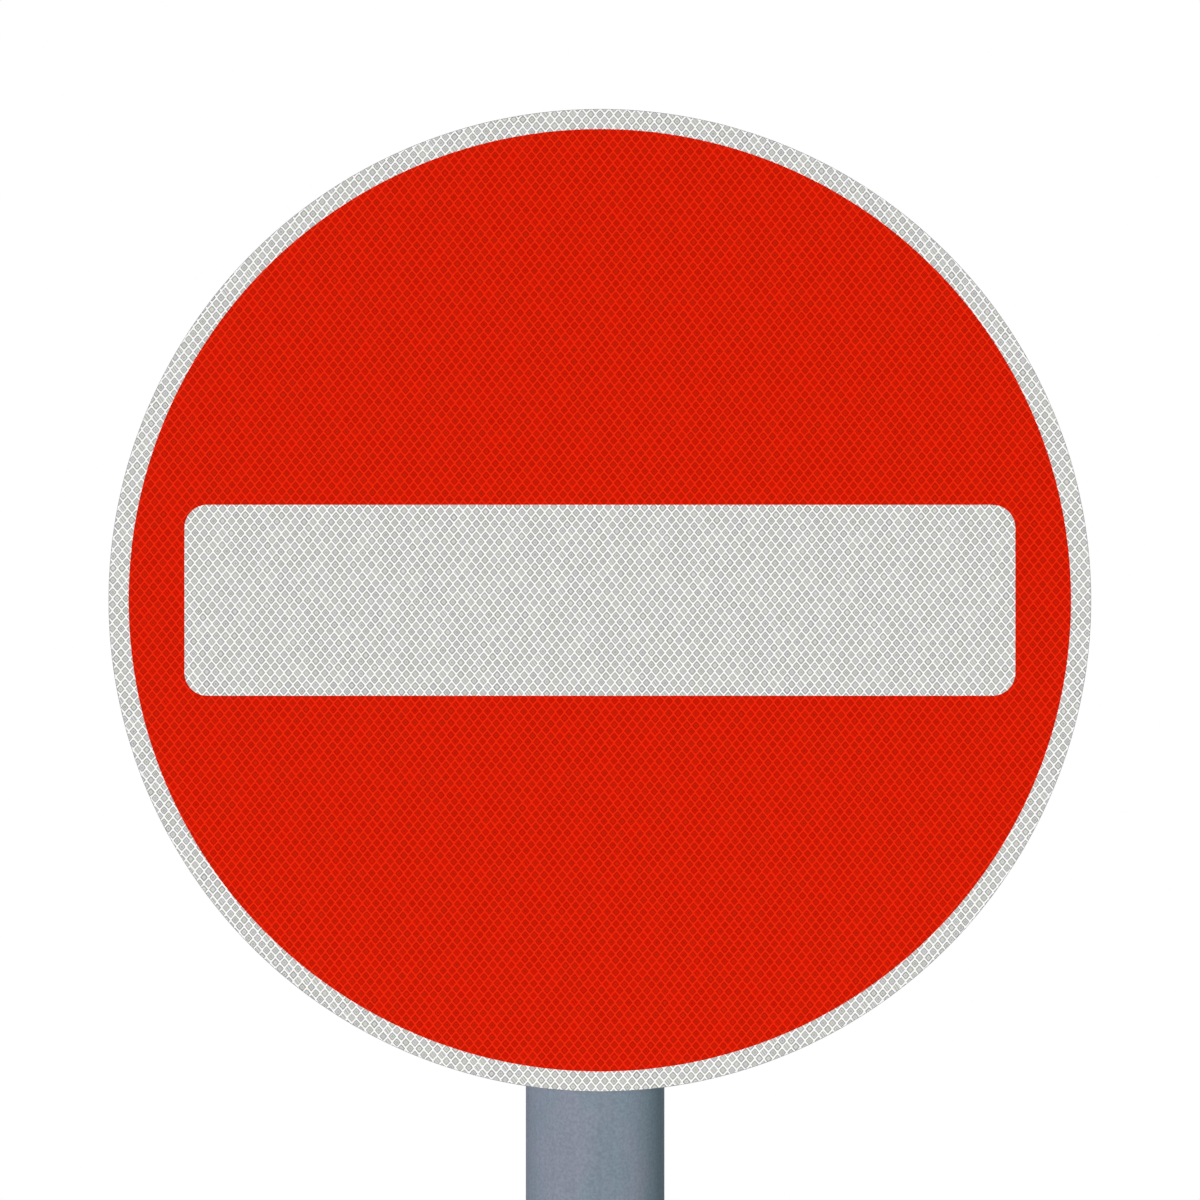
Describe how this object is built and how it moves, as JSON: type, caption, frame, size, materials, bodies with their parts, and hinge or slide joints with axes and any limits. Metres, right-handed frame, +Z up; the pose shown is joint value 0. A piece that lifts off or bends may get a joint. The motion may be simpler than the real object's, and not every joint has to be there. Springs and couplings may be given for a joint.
{
  "type": "no entry sign",
  "caption": "Round no entry road sign, a white bar on a red disc, clipped by channel rails to a round steel post.",
  "frame": {"origin": "centre of the post's foot", "axes": "+Z up along the post, -Y the way the sign faces, +X to the right of its reader"},
  "size_m": [0.5999, 0.1112, 2.026],
  "materials": {
    "post_steel": "matte slate grey coating over galvanised steel",
    "cap_plastic": "matte dark grey moulded plastic",
    "plate_aluminium": "mill finish",
    "white_sheeting": "glossy prismatic sheet with a raised diamond lattice",
    "red_overlay": "glossy transparent red film",
    "rail_aluminium": "extruded, mill finish",
    "foam_tape": "closed-cell foam",
    "clip_aluminium": "extruded and sawn, mill finish",
    "fastener_steel": "plain stainless steel",
    "ring_nylon": "natural nylon"
  },
  "bodies": {
    "root": {"post": "post_steel", "post_cap": "cap_plastic", "sign_plate": "plate_aluminium", "reflective_sheeting": "white_sheeting", "red_film": "red_overlay", "upper_rail": "rail_aluminium", "upper_rail_tape_high": "foam_tape", "upper_rail_tape_low": "foam_tape", "upper_clip": "clip_aluminium", "upper_left_bolt": "fastener_steel", "upper_left_washer": "fastener_steel", "upper_left_nut": "fastener_steel", "upper_left_nut_ring": "ring_nylon", "upper_right_bolt": "fastener_steel", "upper_right_washer": "fastener_steel", "upper_right_nut": "fastener_steel", "upper_right_nut_ring": "ring_nylon", "lower_rail": "rail_aluminium", "lower_rail_tape_high": "foam_tape", "lower_rail_tape_low": "foam_tape", "lower_clip": "clip_aluminium", "lower_left_bolt": "fastener_steel", "lower_left_washer": "fastener_steel", "lower_left_nut": "fastener_steel", "lower_left_nut_ring": "ring_nylon", "lower_right_bolt": "fastener_steel", "lower_right_washer": "fastener_steel", "lower_right_nut": "fastener_steel", "lower_right_nut_ring": "ring_nylon"}
  },
  "joints": []
}
